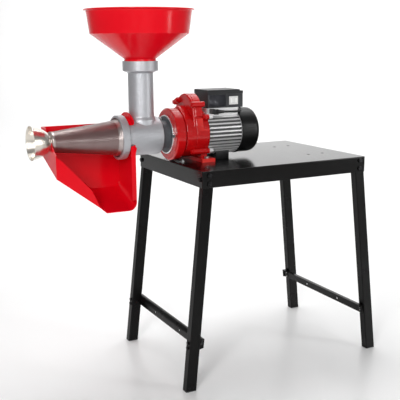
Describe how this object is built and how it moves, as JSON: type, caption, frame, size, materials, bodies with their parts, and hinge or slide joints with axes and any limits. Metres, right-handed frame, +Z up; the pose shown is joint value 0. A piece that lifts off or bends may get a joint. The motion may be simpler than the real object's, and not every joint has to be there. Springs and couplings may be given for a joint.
{
  "type": "electric fruit strainer",
  "caption": "Electric fruit strainer on a steel stand: funnel hopper, auger barrel, conical sieve with flared waste outlet and splash guard, driven by a geared motor.",
  "frame": {"origin": "centre of the bounding box of the object without its cord, at floor level", "axes": "+Z up, X along the machine's axis with the waste outlet at -X and the motor at +X, -Y the side with the switch"},
  "size_m": [1.149, 0.5, 1.184],
  "materials": {
    "stand_black": "satin black powder coat",
    "cap_black": "moulded black",
    "black_bolt": "blackened steel",
    "zinc": "zinc plated",
    "cast_silver": "satin silver casting",
    "dark_steel": "dark machined steel",
    "sieve_steel": "perforated stainless sheet",
    "outlet_steel": "polished tinned steel",
    "red_plastic": "glossy red",
    "auger_plastic": "ivory nylon",
    "red_paint": "gloss red enamel on a casting",
    "gear_steel": "cut steel",
    "bearing_steel": "ground steel",
    "motor_aluminium": "extruded aluminium",
    "lamination": "stacked electrical sheet",
    "copper": "varnished copper wire",
    "box_black": "moulded black",
    "fan_black": "moulded black",
    "switch_white": "moulded white",
    "capacitor_white": "moulded white",
    "rubber_black": "black rubber"
  },
  "bodies": {
    "machine": {"table_top": "stand_black", "leg_front_left": "stand_black", "leg_front_right": "stand_black", "leg_rear_left": "stand_black", "leg_rear_right": "stand_black", "leg_caps": "cap_black", "brace_left": "stand_black", "brace_right": "stand_black", "stand_bolts": "black_bolt", "stand_nuts": "zinc", "end_skirt_screws": "black_bolt", "filler_plug": "red_paint", "output_seal": "rubber_black", "strainer_body": "cast_silver", "coupling_flange": "dark_steel", "coupling_bolts": "zinc", "sieve_cone": "sieve_steel", "waste_outlet": "outlet_steel", "socket_ring": "red_paint", "socket_screws": "zinc", "gearbox_cover": "red_paint", "gearbox_housing": "red_paint", "gearbox_bolts": "red_paint", "bearing_plate": "cast_silver", "output_bearing_front": "bearing_steel", "output_bearing_rear": "bearing_steel", "layshaft_bearings": "bearing_steel", "foot_bolts": "zinc", "foot_nuts": "zinc", "motor_frame": "motor_aluminium", "stator_core": "lamination", "stator_windings": "copper", "motor_bearing_front": "bearing_steel", "motor_bearing_rear": "bearing_steel", "rear_shield": "motor_aluminium", "fan_cover": "fan_black", "fan_cover_screws": "zinc", "motor_foot": "rubber_black", "terminal_box": "box_black", "terminal_box_lid": "box_black", "lid_screws": "zinc", "switch_frame": "switch_white", "capacitor": "capacitor_white", "cable_gland": "box_black", "strain_relief": "rubber_black", "mains_cord": "rubber_black", "cord_coil": "rubber_black", "mains_plug": "rubber_black"},
    "hopper": {"hopper": "red_plastic"},
    "splash_guard": {"splash_guard": "red_plastic"},
    "retaining_ring": {"retaining_ring": "cast_silver"},
    "feed_screw": {"auger": "auger_plastic", "output_shaft": "gear_steel", "output_gear": "gear_steel"},
    "layshaft": {"layshaft": "gear_steel", "layshaft_gear": "gear_steel"},
    "rotor": {"rotor_shaft": "gear_steel", "rotor_core": "lamination", "cooling_fan": "fan_black"},
    "switch_rocker": {"switch_rocker": "switch_white"}
  },
  "joints": [
    {"name": "hopper_lift", "type": "slide", "parent": "machine", "child": "hopper", "axis": [0, 0, 1], "range_m": [0, 0.06]},
    {"name": "guard_swing", "type": "hinge", "parent": "machine", "child": "splash_guard", "pos_m": [-0.2685, 0, 0.789], "axis": [1, 0, 0], "range_deg": [-15, 15]},
    {"name": "ring_turn", "type": "hinge", "parent": "machine", "child": "retaining_ring", "pos_m": [-0.2885, 0, 0.789], "axis": [1, 0, 0], "range_deg": [0, 52]},
    {"name": "screw_turn", "type": "hinge", "parent": "machine", "child": "feed_screw", "pos_m": [-0.2185, 0, 0.789], "axis": [1, 0, 0], "continuous": true},
    {"name": "layshaft_turn", "type": "hinge", "parent": "machine", "child": "layshaft", "pos_m": [-0.0585, 0, 0.855], "axis": [1, 0, 0], "continuous": true},
    {"name": "rotor_turn", "type": "hinge", "parent": "machine", "child": "rotor", "pos_m": [0.0515, 0, 0.789], "axis": [1, 0, 0], "continuous": true},
    {"name": "rocker_tip", "type": "hinge", "parent": "machine", "child": "switch_rocker", "pos_m": [0.1009, -0.045, 0.893], "axis": [0, 0, 1], "range_deg": [0, 14]}
  ],
  "couplings": [
    {"joint": "layshaft_turn", "follows": "screw_turn", "ratio": -3.4},
    {"joint": "rotor_turn", "follows": "screw_turn", "ratio": 10.625}
  ]
}
